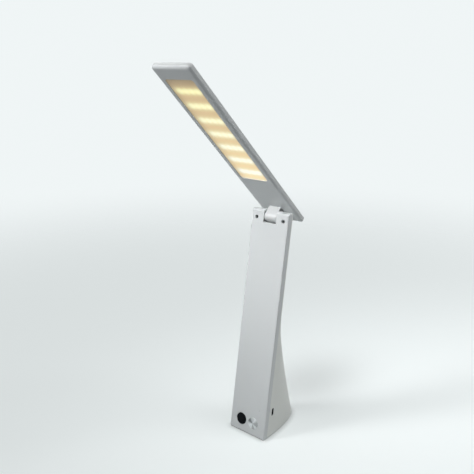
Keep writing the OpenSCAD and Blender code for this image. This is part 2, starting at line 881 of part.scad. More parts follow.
// Round key as a turned solid; its face is at z = -key_proud and it is pressed along +z
module key_body() {
    r = key_d / 2;
    rotate_extrude() {
        translate([0, key_edge_r - key_proud]) square([r, key_rest + key_proud - key_edge_r]);
        translate([0, -key_proud]) square([r - key_edge_r, key_edge_r + eps]);
        translate([r - key_edge_r, key_edge_r - key_proud]) circle(key_edge_r);
        translate([0, key_rest]) square([r + key_flange, key_flange_t]);
        translate([0, key_rest]) square([stem_r, stem_end - key_rest]);
    }
}

module power_key() {
    color(key_colour)
    on_front(key_x[0], key_rise) key_body();
}

groove_r = 4.4;
groove_w = 0.7;
groove_d = 0.3;
module mode_key() {
    color(ring_colour)
    on_front(key_x[1], key_rise) difference() {
        key_body();
        rotate_extrude() translate([groove_r, -key_proud - eps]) square([groove_w, groove_d]);
    }
}

// ---------------------------------------------------------------- nodes

front_cover();
rear_cover();
base_plate();
sole_pad();
ballast_plate();
base_screws();
battery_cell();
battery_cradle();
main_board();
board_screws();
key_switches();
charge_port();
indicator_lens();
column_lead();
hinge_bracket();
ear_screws();
power_key();
mode_key();
hinge_knuckle();
hinge_pin();
friction_washers();
hinge_nuts();
knuckle_screws();
head_frame();
head_cover();
diffuser();
reflector_tray();
light_board();
light_chips();
head_lead();
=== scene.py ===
# %% [markdown]
# # Dressing a folding desk lamp
# A CAD program has made this lamp as solids: two column mouldings that flare into a foot, a
# stiff hinge, a flat light head, two keys and a charging slot. Solids have the right sizes, but
# a picture needs soft edges, finishes and light as well. Each cell below adds one of them. The
# first one loads the solids as a fixed frame, so that whatever is built here lands in its place
# without fitting.

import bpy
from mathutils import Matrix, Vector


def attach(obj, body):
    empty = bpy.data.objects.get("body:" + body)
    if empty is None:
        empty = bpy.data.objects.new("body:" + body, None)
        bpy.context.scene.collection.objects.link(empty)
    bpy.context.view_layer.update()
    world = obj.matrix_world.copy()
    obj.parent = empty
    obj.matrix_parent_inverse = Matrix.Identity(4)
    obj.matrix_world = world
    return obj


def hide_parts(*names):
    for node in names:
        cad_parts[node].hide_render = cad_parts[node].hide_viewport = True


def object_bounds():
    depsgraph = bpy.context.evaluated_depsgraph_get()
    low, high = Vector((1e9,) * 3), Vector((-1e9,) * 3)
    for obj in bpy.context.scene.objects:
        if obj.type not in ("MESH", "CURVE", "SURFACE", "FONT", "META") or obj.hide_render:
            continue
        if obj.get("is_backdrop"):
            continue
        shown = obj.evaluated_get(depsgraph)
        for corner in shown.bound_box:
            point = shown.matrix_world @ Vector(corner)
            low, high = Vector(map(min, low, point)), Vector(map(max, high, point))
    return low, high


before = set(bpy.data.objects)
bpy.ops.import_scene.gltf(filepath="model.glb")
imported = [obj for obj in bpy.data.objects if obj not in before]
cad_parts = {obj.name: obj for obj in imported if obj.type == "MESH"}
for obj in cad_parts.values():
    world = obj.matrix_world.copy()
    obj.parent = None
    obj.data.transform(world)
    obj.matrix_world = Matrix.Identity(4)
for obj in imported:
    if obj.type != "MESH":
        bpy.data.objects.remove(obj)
cad_low, cad_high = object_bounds()

# %% [markdown]
# ## The lamp's own measures
# Everything is measured in millimetres, as a model maker would. A length up the column is a
# *rise* and runs along its leaning front face, and a *depth* runs back from that face. In the
# head, lengths run from the hinge axis to the far end. These numbers, and those that each piece
# brings along below, are the ones that the solids were drawn from, so the dressed pieces and
# the solids agree.

# %% Measures in millimetres
import math

import bmesh
import bpy
from mathutils import Matrix, Vector

LEAN, HEAD_LEAN = math.radians(8.8), math.radians(46)
FOOT_DEPTH = 79.0
BARREL_R = 5.9
AXIS_DEPTH, AXIS_RISE = BARREL_R, 252.5

FRONT_Y = -FOOT_DEPTH / 2
AXIS_Y = FRONT_Y + AXIS_RISE * math.sin(LEAN) + AXIS_DEPTH * math.cos(LEAN)
AXIS_Z = AXIS_RISE * math.cos(LEAN) - AXIS_DEPTH * math.sin(LEAN)
print("hinge axis at y %.2f and z %.2f mm" % (AXIS_Y, AXIS_Z))

# %% [markdown]
# ## Two leaning frames
# The column leans back and the head leans forward, which would make every corner an odd number.
# It is simpler to model each piece upright, in the column's or the head's own frame, and to lay
# it in place at the end with one matrix. A turned shape is made along z, so two quarter turns
# lay it into a face or across the lamp. The last matrix turns millimetres into metres.

# %% Frames of the column and the head
IN_COLUMN = Matrix.Translation((0, FRONT_Y, 0)) @ Matrix.Rotation(-LEAN, 4, "X")
IN_HEAD = Matrix.Translation((0, AXIS_Y, AXIS_Z)) @ Matrix.Rotation(HEAD_LEAN, 4, "X")
INTO_FACE = Matrix.Rotation(math.radians(-90), 4, "X")
ACROSS = Matrix.Rotation(math.radians(90), 4, "Y")
MM = 0.001
TO_METRES = Matrix.Scale(MM, 4)

HEAD_REACH, HEAD_T, LIT_Y = 221.0, 6.0, 10.3
tip = IN_HEAD @ Vector((0, LIT_Y + HEAD_T, HEAD_REACH))
print("far end of the head at", [round(v, 1) for v in tip], "mm")

# %% [markdown]
# ## The camera
# A product photograph is a perspective picture, so its camera can be worked out. The edges of
# the column and head, whose directions are known, fix where it stood: in front and to the
# right, a little above, and looking down a little. Placed by eye, every edge would come out a
# little off. With the camera that was worked out, the two pictures line up.

# %% Camera
CAMERA_AT = Vector((0.4091, -0.5327, 0.4160))
CAMERA_AZIMUTH, CAMERA_PITCH = math.radians(40.65), math.radians(15.75)
SENSOR_MM, LENS_MM = 36.0, 47.955
camera_data = bpy.data.cameras.new("camera")
camera_data.sensor_width, camera_data.lens = SENSOR_MM, LENS_MM
camera = bpy.data.objects.new("camera", camera_data)
bpy.context.scene.collection.objects.link(camera)
looks = Vector((-math.sin(CAMERA_AZIMUTH) * math.cos(CAMERA_PITCH),
                math.cos(CAMERA_AZIMUTH) * math.cos(CAMERA_PITCH),
                -math.sin(CAMERA_PITCH)))
camera.location = CAMERA_AT
camera.rotation_euler = looks.to_track_quat("-Z", "Y").to_euler()
bpy.context.scene.camera = camera
print("camera looks along", [round(v, 3) for v in looks])

# %% [markdown]
# ## Tools for the mesh
# Moulded plastic is a skin with rounded edges, so three ways of making it cover this lamp.
# *Skinning* joins a stack of closed rings, which suits anything whose outline changes slowly.
# *Turning* spins a profile, for keys and screws. *Carving* cuts one closed mesh with another,
# for notches and holes. A small bevel on what is left sharp catches the light as a real
# moulding's edge does.

# %% Skins and bars
def new_piece(name, mesh_in_hand):
    bmesh.ops.recalc_face_normals(mesh_in_hand, faces=mesh_in_hand.faces)
    mesh = bpy.data.meshes.new(name)
    mesh_in_hand.to_mesh(mesh)
    mesh_in_hand.free()
    piece = bpy.data.objects.new(name, mesh)
    bpy.context.scene.collection.objects.link(piece)
    return piece


def skin(name, rings, joined=False):
    """A closed skin through rings of equally many points; joined ties the last to the first."""
    work = bmesh.new()
    loops = [[work.verts.new(point) for point in ring] for ring in rings]
    for lower, upper in zip(loops, loops[1:] + (loops[:1] if joined else [])):
        for i in range(len(lower)):
            j = (i + 1) % len(lower)
            work.faces.new((lower[i], lower[j], upper[j], upper[i]))
    if not joined:
        work.faces.new(loops[0])
        work.faces.new(loops[-1])
    return new_piece(name, work)


def extrude(name, outline, low, high, along="z"):
    """A straight bar with a drawn outline, which runs along z or along x."""
    if along == "z":
        rings = [[(a, b, level) for a, b in outline] for level in (low, high)]
    else:
        rings = [[(level, a, b) for a, b in outline] for level in (low, high)]
    return skin(name, rings)


def block(name, low, high):
    (left, front, bottom), (right, back, top) = low, high
    return extrude(name, [(left, front), (right, front), (right, back), (left, back)], bottom, top)


def list_tools(*tools):
    print("tools:", ", ".join(tool.__name__ for tool in tools))


list_tools(skin, extrude, block)

# %% Turned shapes
ON_AXIS = 1e-6


def turn(name, profile, steps=96):
    """A profile of radius and height, spun about z; it starts and ends on the axis."""
    work = bmesh.new()
    rings = []
    for radius, height in profile:
        if radius < ON_AXIS:
            rings.append([work.verts.new((0, 0, height))])
        else:
            rings.append([work.verts.new((radius * math.cos(a), radius * math.sin(a), height))
                          for a in (2 * math.pi * k / steps for k in range(steps))])
    for lower, upper in zip(rings, rings[1:]):
        for i in range(steps):
            j = (i + 1) % steps
            # a ring on the axis is one point, and a face there has three corners
            corners = [lower[i % len(lower)], lower[j % len(lower)],
                       upper[j % len(upper)], upper[i % len(upper)]]
            work.faces.new(list(dict.fromkeys(corners)))
    return new_piece(name, work)


def peg(name, radius, low, high, steps=64):
    return turn(name, [(0, low), (radius, low), (radius, high), (0, high)], steps)


list_tools(turn, peg)

# %% [markdown]
# ## Carving, softening and shading
# Blender's exact boolean keeps a closed mesh where two skins meet, but it leaves some edges far
# too short to round. They are merged first, because one such edge would stop the bevel and
# would spoil the shading of a whole flat face. Then a bevel rounds only the edges that turn by
# more than a limit, so the large fillets, which are in the outline already, stay as drawn.
# Weighted normals keep the broad faces flat.

# %% Carving and moving
def settle(piece):
    """Bakes the modifiers of a piece into its mesh."""
    graph = bpy.context.evaluated_depsgraph_get()
    mesh = bpy.data.meshes.new_from_object(piece.evaluated_get(graph))
    piece.modifiers.clear()
    piece.data = mesh
    return piece


def carve(piece, *tools, operation="DIFFERENCE"):
    for tool in tools:
        cut = piece.modifiers.new("carve", "BOOLEAN")
        cut.object, cut.operation, cut.solver = tool, operation, "EXACT"
        settle(piece)
        bpy.data.objects.remove(tool)
    return piece


def moved(piece, matrix):
    piece.data.transform(matrix)
    return piece


def at(x, y, z):
    return Matrix.Translation((x, y, z))


list_tools(settle, carve, moved, at)

# %% Softening and shading
def merge_specks(piece, reach=0.003):
    """Merges corners that lie closer together than reach millimetres."""
    work = bmesh.new()
    work.from_mesh(piece.data)
    bmesh.ops.remove_doubles(work, verts=work.verts, dist=reach)
    bmesh.ops.dissolve_degenerate(work, edges=work.edges, dist=reach)
    work.to_mesh(piece.data)
    work.free()
    return piece


def soften(piece, width, steps=3, limit=35):
    merge_specks(piece)
    bevel = piece.modifiers.new("edge", "BEVEL")
    bevel.width, bevel.segments = width, steps
    bevel.limit_method, bevel.angle_limit = "ANGLE", math.radians(limit)
    bevel.use_clamp_overlap = True
    return settle(piece)


def shade(piece, limit=40):
    piece.data.shade_smooth()
    piece.data.set_sharp_from_angle(angle=math.radians(limit))
    weigh = piece.modifiers.new("normals", "WEIGHTED_NORMAL")
    weigh.keep_sharp = True
    return settle(piece)


list_tools(merge_specks, soften, shade)

# %% Laying in place
def seat(piece, body, finish, slot, node):
    """Turns a piece to metres, gives it its finish and lets it ride in the place of its solid."""
    moved(piece, TO_METRES)
    piece.data.materials.clear()
    piece.data.materials.append(finish)
    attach(piece, body)
    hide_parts(node)
    print(piece.name, "on", body, "with", len(piece.data.polygons), "faces")


list_tools(seat)

# %% [markdown]
# ## Writing materials as expressions
# A moulded finish is mostly arithmetic on a few noises. Wiring Math nodes by hand hides that,
# so a small class stands for the output of a node and lets it be added, multiplied and so on.
# Its partner holds the nodes of one material, or of the world, and makes any other kind of node
# through one method. A finish is such a set of nodes round one shader.

# %% Shader expressions
class Signal:
    """The output of a node. An expression on it adds the Math nodes that it needs."""

    def __init__(self, wiring, socket):
        self.wiring, self.socket = wiring, socket

    def __add__(self, other):
        return self.wiring.math("ADD", self, other)

    def __sub__(self, other):
        return self.wiring.math("SUBTRACT", self, other)

    def __rsub__(self, other):
        return self.wiring.math("SUBTRACT", other, self)

    def __mul__(self, other):
        return self.wiring.math("MULTIPLY", self, other)

    def __truediv__(self, other):
        return self.wiring.math("DIVIDE", self, other)

    def __rtruediv__(self, other):
        return self.wiring.math("DIVIDE", other, self)

    __radd__, __rmul__ = __add__, __mul__

    def limited(self):
        """The signal, held between 0 and 1."""
        return self.wiring.math("MINIMUM", self.wiring.math("MAXIMUM", self, 0.0), 1.0)

    def bell(self):
        """A soft hump: 1 where the signal is 0, and fading away on both sides."""
        return self.wiring.math("EXPONENT", self * self * -1.0)

    def beside(self, output):
        """Another output of the node that this signal leaves."""
        return Signal(self.wiring, self.socket.node.outputs[output])


print("signals can be added, subtracted, multiplied, divided, limited and bent to a bell")

# %% Nodes of a material or of the world
class Wiring:
    """The node tree of a material or of the world, emptied for new nodes."""

    def __init__(self, owner):
        owner.use_nodes = True
        self.tree = owner.node_tree
        self.tree.nodes.clear()

    def node(self, kind, settings=None, inputs=None, output=0):
        """Adds a node: first its settings, then the values or links of its sockets."""
        made = self.tree.nodes.new(kind)
        for key, value in (settings or {}).items():
            setattr(made, key, value)
        for key, value in (inputs or {}).items():
            self.plug(made.inputs[key], value)
        return Signal(self, made.outputs[output]) if made.outputs else None

    def plug(self, socket, value):
        if isinstance(value, Signal):
            self.tree.links.new(value.socket, socket)
        else:
            socket.default_value = value

    def math(self, operation, *values):
        return self.node("ShaderNodeMath", {"operation": operation}, dict(enumerate(values)))

    def vector(self, operation, *values, output="Vector"):
        return self.node("ShaderNodeVectorMath", {"operation": operation},
                         dict(enumerate(values)), output)

    def mix(self, share, first, second):
        """A colour between two colours; in this node they are the sockets numbered 6 and 7."""
        colours = {0: share, 6: first, 7: second}
        return self.node("ShaderNodeMix", {"data_type": "RGBA"}, colours, 2)


list_tools(Wiring.node, Wiring.math, Wiring.vector, Wiring.mix)

# %% One finish
class Finish(Wiring):
    """A material with one shader, which its expressions feed."""

    def __init__(self, name, **constants):
        self.material = bpy.data.materials.new(name)
        super().__init__(self.material)
        values = {socket.replace("_", " "): value for socket, value in constants.items()}
        shader = self.node("ShaderNodeBsdfPrincipled", {}, values)
        self.node("ShaderNodeOutputMaterial", {}, {"Surface": shader})
        self.shader = shader.socket.node
        self.place = self.node("ShaderNodeTexCoord", output="Object")

    def feed(self, socket, signal):
        self.plug(self.shader.inputs[socket], signal)

    def noise(self, size, detail, place=None):
        """Smooth noise from 0 to 1 whose blobs are about size metres across."""
        values = {"Vector": place or self.place, "Scale": 1 / size, "Detail": detail}
        return self.node("ShaderNodeTexNoise", {}, values, "Fac")

    def upright(self, middle, angle):
        """The place on a piece that leans by an angle about a middle, as if it stood upright."""
        return self.node("ShaderNodeVectorRotate", {"rotation_type": "X_AXIS"},
                         {"Vector": self.place, "Center": middle, "Angle": angle})

    def wander(self, signal, around, by):
        """Lets the roughness wander about a middle value."""
        self.feed("Roughness", signal * by + (around - by / 2))

    def bump(self, height, depth, strength):
        relief = self.node("ShaderNodeBump", {},
                           {"Height": height, "Distance": depth, "Strength": strength})
        self.feed("Normal", relief)


def tint(red, green, blue):
    return (red, green, blue, 1.0)


def shaded(colour, share):
    """A colour brought to a share of itself, darker below 1 and lighter above."""
    return tint(*(part * share for part in colour))


list_tools(Finish.feed, Finish.noise, Finish.upright, Finish.wander, Finish.bump, tint, shaded)

# %% [markdown]
# ## Satin moulded plastic
# The shells are light grey plastic with a fine spark-eroded grain. Under a soft light that
# grain is too small to see as dots, but it spreads the highlight. One flat grey would look like
# card, so noises make it: a broad one that shifts the shade by a hair, as pigment does, a
# middle one that varies the gloss where hands and mould polish differ, and for the grain itself
# a fine one, a third of a millimetre across, with a little of one four times as coarse. Each
# moulding gets its own lighter or darker grey as painted light and shade, which stands in for
# how differently each catches the room.

# %% Satin plastic
MICRON = 0.001 * MM
PIGMENT_CLOUD, HANDLED_PATCH = 60 * MM, 12 * MM
GRAIN, COARSER = 0.35 * MM, 4


def satin(name, shade_low, shade_high, rough=0.42):
    finish = Finish(name, IOR=1.47, Specular_IOR_Level=0.45)
    cloud = finish.noise(PIGMENT_CLOUD, 3.0)
    finish.feed("Base Color", finish.mix(cloud, tint(*shade_low), tint(*shade_high)))
    handled = finish.noise(HANDLED_PATCH, 4.0)
    finish.wander(handled, around=rough, by=0.10)
    grain = finish.noise(GRAIN, 2.0) * 0.8 + finish.noise(GRAIN * COARSER, 1.0) * 0.2
    finish.bump(grain, 12 * MICRON, 0.30)
    return finish.material


# the greys differ as painted light and shade: each moulding's grey is set lighter or darker for
# how it catches the room's light
front_shell = satin("satin_front_shell", (0.522, 0.546, 0.555), (0.541, 0.564, 0.571))
rear_shell = satin("satin_rear_shell", (0.621, 0.641, 0.617), (0.643, 0.663, 0.639), 0.46)
head_cover = satin("satin_head_cover", (0.498, 0.515, 0.517), (0.521, 0.538, 0.540), 0.46)
knuckle_shell = satin("satin_knuckle", (0.486, 0.501, 0.505), (0.502, 0.516, 0.520), 0.40)
head_shell = satin("satin_head_shell", (0.653, 0.678, 0.690), (0.678, 0.702, 0.711))
print("satin finishes:", [m.name for m in bpy.data.materials if m.name.startswith("satin")])

# %% [markdown]
# ## Metal, rubber, gloss and the hidden pieces
# Each remaining finish differs in how it scatters light. Screws are dark plated steel with
# turning marks: a noise squeezed along one direction gives such lines. The sole is dull rubber
# with a coarse tooth. The power key is polished black, where only a few faint smears break the
# mirror. Pieces inside the shells get their own finish too, as they show when the lamp is taken
# apart.

# %% Makers of metal, moulded and polished finishes
TURNING_LINES, SQUEEZE = 2 * MM, (1.0, 1.0, 12.0)
SMEARS, SMEAR_LIFT, SMEAR_DULLS = 6 * MM, 0.002, 0.05
LINE_SHADE, PIGMENT_SHADE = 0.82, 0.88


def metal(name, colour, rough):
    finish = Finish(name, Metallic=1.0)
    squeezed = finish.node("ShaderNodeMapping", {}, {"Vector": finish.place, "Scale": SQUEEZE})
    lines = finish.noise(TURNING_LINES, 3.0, squeezed)
    finish.feed("Base Color", finish.mix(lines, shaded(colour, LINE_SHADE), tint(*colour)))
    finish.wander(lines, around=rough, by=0.18)
    finish.bump(lines, 10 * MICRON, 0.3)
    return finish.material


def moulded(name, colour, rough=0.5, tooth=0.5, depth=40):
    """Plain moulded stuff with a tooth in millimetres, of a depth in thousandths of one."""
    finish = Finish(name)
    cloud = finish.noise(20 * MM, 3.0)
    finish.feed("Base Color", finish.mix(cloud, shaded(colour, PIGMENT_SHADE), tint(*colour)))
    finish.wander(cloud, around=rough, by=0.12)
    finish.bump(finish.noise(tooth * MM, 2.0), depth * MICRON, 0.5)
    return finish.material


def polished(name, colour, rough, shine=0.25):
    finish = Finish(name, Specular_IOR_Level=shine)
    smears = finish.noise(SMEARS, 4.0)
    smeared = tint(*(part + SMEAR_LIFT for part in colour))
    finish.feed("Base Color", finish.mix(smears, tint(*colour), smeared))
    finish.feed("Roughness", smears * SMEAR_DULLS + rough)
    finish.bump(smears, 20 * MICRON, 0.1)
    return finish.material


list_tools(metal, moulded, polished)

# %% Other finishes
dark_steel = metal("dark_screw_steel", (0.10, 0.10, 0.105), 0.38)
plated_steel = metal("plated_steel", (0.60, 0.60, 0.62), 0.32)
# the socket's steel is painted nearly black, a painted shade for its deep, shaded slot
socket_steel_painted_dark = metal("socket_steel_painted_dark", (0.006, 0.006, 0.007), 0.50)
sole_rubber = moulded("sole_rubber", (0.012, 0.012, 0.013), 0.85, 0.7, 120)
inner_plastic = moulded("inner_plastic", (0.035, 0.035, 0.038))
white_plastic = moulded("white_plastic", (0.80, 0.80, 0.78), 0.55)
board_resist = moulded("board_resist", (0.012, 0.085, 0.035), 0.35, 1.2, 20)
light_board_coat = moulded("light_board_coat", (0.78, 0.78, 0.75), 0.4, 1.2, 20)
cell_sleeve = moulded("cell_sleeve", (0.045, 0.15, 0.33), 0.3, 3, 20)
lead_sleeve = moulded("lead_sleeve", (0.35, 0.02, 0.015), 0.45)
key_black = polished("polished_black", (0.0012, 0.0018, 0.0035), 0.12, 0.06)
clear_lens = polished("clear_lens", (0.42, 0.44, 0.44), 0.15)
chip_phosphor = moulded("chip_phosphor", (0.85, 0.62, 0.16), 0.3, 0.6)
print("finishes in all:", len(bpy.data.materials))

# %% [markdown]
# ## The lit panel
# Light from seven rows of small diodes shines through a milky sheet. Straight over a row the
# sheet is nearly white, and between rows it fades to amber. A picture would be one way to show
# that, but the spots have a simple cause, so the glow is worked out from it: in the head's own
# frame, the distance to the nearest row and to the nearest diode in the row each give a soft
# bell-shaped hump. One more pale band lies along the end by the hinge. The sheet also fades
# towards its left edge and its far end, where fewer diodes are near. Its own colour is a milky
# amber, so it takes part of its tone from the room, as the unlit sheet does; over the rows that
# colour is painted paler, following the glow, as painted light.

# %% Where the diodes are
PANEL_L, PANEL_BORDER = 149.0, 16.0
PANEL_MIDDLE = HEAD_REACH - PANEL_BORDER - PANEL_L / 2
HALF_PANEL = PANEL_L / 2 * MM
ROWS_MIDDLE = (PANEL_MIDDLE - 0.7) * MM
CHIP_ROWS, ROW_PITCH = 7, 20.1 * MM
CHIPS_IN_ROW, CHIP_PITCH = 4, 7.0 * MM


def to_nearest(place, count, pitch):
    """Distance to the nearest of count places, pitch apart, that are centred on zero."""
    first = (count - 1) / 2 * pitch
    inside = place.wiring.math("PINGPONG", place + (first + count * pitch), pitch / 2)
    outside = place.wiring.math("ABSOLUTE", place) - first
    return place.wiring.math("MAXIMUM", inside, outside)


print("panel middle at %.1f mm from the hinge" % PANEL_MIDDLE)

# %% Lit diffuser
ROW_REACH, CHIP_REACH, ALONG_ROW, NEAR_END_REACH = 4.6 * MM, 3.1 * MM, 2.5, 3.5 * MM
ROW_SHARE, CHIP_SHARE, NEAR_END_SHARE = 0.87, 0.45, 0.45
FADE_REACH, END_FADE, END_DROP = 24.5 * MM, 14 * MM, 0.6
ROW_ASIDE, FADE_ASIDE = 2.4 * MM, 1.6 * MM
BETWEEN_NEAR, BETWEEN_FAR = tint(0.71, 0.55, 0.27), tint(0.42, 0.29, 0.13)
OVER_NEAR, OVER_FAR = tint(0.84, 0.84, 0.73), tint(0.84, 0.80, 0.36)
SHEET_BETWEEN, SHEET_PAINTED_PALE_OVER_ROWS = tint(0.40, 0.33, 0.24), tint(0.42, 0.40, 0.34)
UNLIT = tint(0, 0, 0)


def lit_sheet(name):
    finish = Finish(name, Roughness=0.35, Emission_Strength=1.0)
    upright = finish.upright((0, AXIS_Y * MM, AXIS_Z * MM), -HEAD_LEAN)
    height = finish.node("ShaderNodeSeparateXYZ", {}, {0: upright}, "Z")
    along = height - (AXIS_Z * MM + ROWS_MIDDLE)
    across = height.beside("X") - ROW_ASIDE

    from_row = to_nearest(along, CHIP_ROWS, ROW_PITCH)
    from_chip = to_nearest(across, CHIPS_IN_ROW, CHIP_PITCH)
    row_glow = (from_row / ROW_REACH).bell() * (from_chip / (CHIP_REACH * ALONG_ROW)).bell()
    chip_glow = (from_chip / CHIP_REACH).bell() * (from_row / CHIP_REACH).bell()
    near_end = ((along + HALF_PANEL) / NEAR_END_REACH).bell()
    glow = row_glow * ROW_SHARE + chip_glow * CHIP_SHARE + near_end * NEAR_END_SHARE
    glow = glow.limited()

    far = (along / (CHIP_ROWS * ROW_PITCH) + 0.5).limited()
    between = finish.mix(far, BETWEEN_NEAR, BETWEEN_FAR)
    over_row = finish.mix(far, OVER_NEAR, OVER_FAR)
    past_last = ((along - (HALF_PANEL - END_FADE)) / END_FADE).limited()
    sideways = across - FADE_ASIDE
    full = (sideways * sideways / FADE_REACH ** 2).bell() * (1 - past_last * END_DROP)
    finish.feed("Emission Color", finish.mix(full, UNLIT, finish.mix(glow, between, over_row)))
    # the sheet's own colour follows the glow and is painted paler over the rows: painted light
    finish.feed("Base Color", finish.mix(glow, SHEET_BETWEEN, SHEET_PAINTED_PALE_OVER_ROWS))
    finish.bump(finish.noise(4 * MM, 2.0), 20 * MICRON, 0.2)
    return finish.material


lit_panel = lit_sheet("lit_panel")
print("the lit sheet's material has", len(lit_panel.node_tree.nodes), "nodes")

# %% [markdown]
# ## The front moulding
# One long flat moulding is the column's whole face. It is made as the real one is thought of: a
# bar with two rounded long edges, cut to a round top about the hinge axis, so that the head's
# tail swings past it, then hollowed, notched for the hinge and drilled. Carving keeps the walls
# an even 1.6 mm. Every cutting tool stands a little out of what it cuts, so that no two faces
# lie in one plane.

# %% Arcs and round corners
def arc(centre, radius, start, end, steps):
    """Points of an arc, with the angles in degrees."""
    angles = [math.radians(start + (end - start) * k / steps) for k in range(steps + 1)]
    return [(centre[0] + radius * math.cos(angle), centre[1] + radius * math.sin(angle))
            for angle in angles]


def round_box(width, length, radius, steps):
    """A rectangle with round corners, centred on the origin."""
    a, b = width / 2 - radius, length / 2 - radius
    return (arc((a, b), radius, 0, 90, steps) + arc((-a, b), radius, 90, 180, steps)
            + arc((-a, -b), radius, 180, 270, steps) + arc((a, -b), radius, 270, 360, steps))


list_tools(arc, round_box)

# %% Places on the front
SCREW_X, SCREW_RISE = 18.15, 250.5
KEY_X, KEY_RISE = (-9.4, 7.6), 14.7
LENS_X, LENS_RISE = 14.5, 32.4
POST_X, POST_RISES = 19.9, (11.0, 40.5)
EARS = [(-SCREW_X, SCREW_RISE), (SCREW_X, SCREW_RISE)]
KEYS = [(x, KEY_RISE) for x in KEY_X]
POSTS = [(x, rise) for x in (-POST_X, POST_X) for rise in POST_RISES]


def into_front(x, rise):
    """Frame at a point of the front face, whose z runs into the column."""
    return at(x, 0, rise) @ INTO_FACE


def front_pegs(name, radius, low, high, places, steps=64, within=Matrix()):
    """Pegs that stand square to the front face, one at each place on it."""
    return [moved(peg(name, radius, low, high, steps), within @ into_front(x, rise))
            for x, rise in places]


print("screws, keys and posts at", EARS, KEYS, POSTS)

# %% Tools that cut both mouldings
CLEAR, FAR_OUT, FAR_BACK, FAR_DOWN = 2.0, 60, 90, 40
SMALL_STEPS = 32
EAR_R = 7.7
EAR_TOP = AXIS_RISE + EAR_R
NOTCH_W, NOTCH_FLOOR, NOTCH_BACK = 17.0, 246.0, 14.0
PIN_WAY_R, PIN_REACH = 1.9, 12
SOLE_GAP = 1.0


def ear_block(inset, reach=150.0, foot=-20.0):
    """All that lies under the ears' round tops, as a bar across the column."""
    tops = arc((AXIS_DEPTH, AXIS_RISE), EAR_R - inset, 0, 180, 40)
    side = [(reach, foot), (reach, AXIS_RISE)] + tops + [(-reach, AXIS_RISE), (-reach, foot)]
    return extrude("ear_block", side, -FAR_OUT, FAR_OUT, along="x")


def notch_block(grow):
    half = NOTCH_W / 2 + grow
    return block("notch_block", (-half, -CLEAR, NOTCH_FLOOR - grow),
                 (half, NOTCH_BACK, EAR_TOP + EAR_R))


def pin_bore(radius, place):
    """A peg across the lamp at a place on the hinge axis."""
    return moved(peg("pin_bore", radius, -PIN_REACH, PIN_REACH, SMALL_STEPS), place @ ACROSS)


def under_gap():
    return block("under_gap", (-FAR_OUT, -FAR_BACK, -FAR_DOWN), (FAR_OUT, FAR_BACK, SOLE_GAP))


PIN_PLACE = at(0, AXIS_DEPTH, AXIS_RISE)
list_tools(ear_block, notch_block, pin_bore, under_gap)

# %% Front moulding, hollowed
COLUMN_W, COLUMN_T = 50.0, 9.6
WALL, NOTCH_WALL, EDGE_R = 1.6, 1.5, 1.2
RECESS_R, RECESS_DEPTH = 2.1, 3.4
TUBE_R, TUBE_TOP, TUBE_FLOOR = 3.2, -1, RECESS_DEPTH + 1.2
HOLLOW_FOOT = -5
HALF_W = COLUMN_W / 2

left_edge = arc((EDGE_R - HALF_W, EDGE_R), EDGE_R, -90, -180, 10)
right_edge = arc((HALF_W - EDGE_R, EDGE_R), EDGE_R, 0, -90, 10)
front_outline = [(HALF_W, AXIS_DEPTH)] + right_edge + left_edge + [(-HALF_W, AXIS_DEPTH)]
front = extrude("front_moulding", front_outline, -CLEAR, EAR_TOP + 1)
carve(front, ear_block(0), operation="INTERSECT")
hollow = block("hollow", (WALL - HALF_W, WALL, HOLLOW_FOOT),
               (HALF_W - WALL, AXIS_DEPTH + CLEAR, EAR_TOP))
carve(hollow, ear_block(WALL), operation="INTERSECT")
carve(hollow, notch_block(NOTCH_WALL), *front_pegs("tube", TUBE_R, TUBE_TOP, TUBE_FLOOR, EARS))
carve(front, hollow)
print("the hollow front has", len(front.data.polygons), "faces")

# %% Front moulding, drilled and softened
POST_R, POST_FOOT, BOARD_FRONT = 2.2, WALL - 0.1, 8.87
KEY_R, KEY_GAP, LENS_R, LENS_GAP = 6.7, 0.3, 0.5, 0.15
SHANK_R, HOLE_R = 1.1, 1.25
THROUGH_WALL, THROUGH_EAR = 4, 8
SHELL_EDGE = 0.22

carve(front, *front_pegs("post", POST_R, POST_FOOT, BOARD_FRONT, POSTS, SMALL_STEPS),
      operation="UNION")
carve(front, notch_block(0),
      *front_pegs("recess", RECESS_R, -CLEAR, RECESS_DEPTH, EARS),
      *front_pegs("shank_hole", HOLE_R, 0, THROUGH_EAR, EARS, SMALL_STEPS),
      *front_pegs("key_hole", KEY_R + KEY_GAP, -CLEAR, THROUGH_WALL, KEYS, 96),
      *front_pegs("lens_hole", LENS_R + LENS_GAP, -CLEAR, THROUGH_WALL,
                  [(LENS_X, LENS_RISE)], SMALL_STEPS),
      pin_bore(PIN_WAY_R, PIN_PLACE))
moved(front, IN_COLUMN)
carve(front, under_gap())
shade(soften(front, SHELL_EDGE))
seat(front, "column", front_shell, "front_shell", "front_cover")

# %% [markdown]
# ## The rear moulding
# This is the skilled piece of the lamp: a thin slab that swells into a deep foot in one sweep.
# Level by level its outline is half of a superellipse, nearly square above and nearly an
# ellipse at the table, and its back is a straight line, a hollow arc and another straight line.
# No single outline could be extruded to that, so rings at many levels are skinned, once for the
# outside and once, drawn in by the wall, for the hollow.

# %% The back's line from slab to foot
FLARE, FLARE_R = math.radians(20.3), 65.0
SLAB_DEPTH = COLUMN_T / math.cos(LEAN)
LEAN_RISE, FLARE_SLOPE = math.tan(LEAN), math.tan(FLARE)
MEET_Z = (FOOT_DEPTH - SLAB_DEPTH) / (LEAN_RISE + FLARE_SLOPE)
MEET_Y = MEET_Z * LEAN_RISE + SLAB_DEPTH
HALF_TURN = (FLARE + LEAN) / 2
CURVE_REACH = FLARE_R * math.tan(HALF_TURN)
CURVE_TOP = MEET_Z + CURVE_REACH * math.cos(LEAN)
CURVE_FOOT = MEET_Z - CURVE_REACH * math.cos(FLARE)
CURVE_AIM = math.pi / 2 + (LEAN - FLARE) / 2
CURVE_Y = MEET_Y + math.sin(CURVE_AIM) * FLARE_R / math.cos(HALF_TURN)
CURVE_Z = MEET_Z + math.cos(CURVE_AIM) * FLARE_R / math.cos(HALF_TURN)


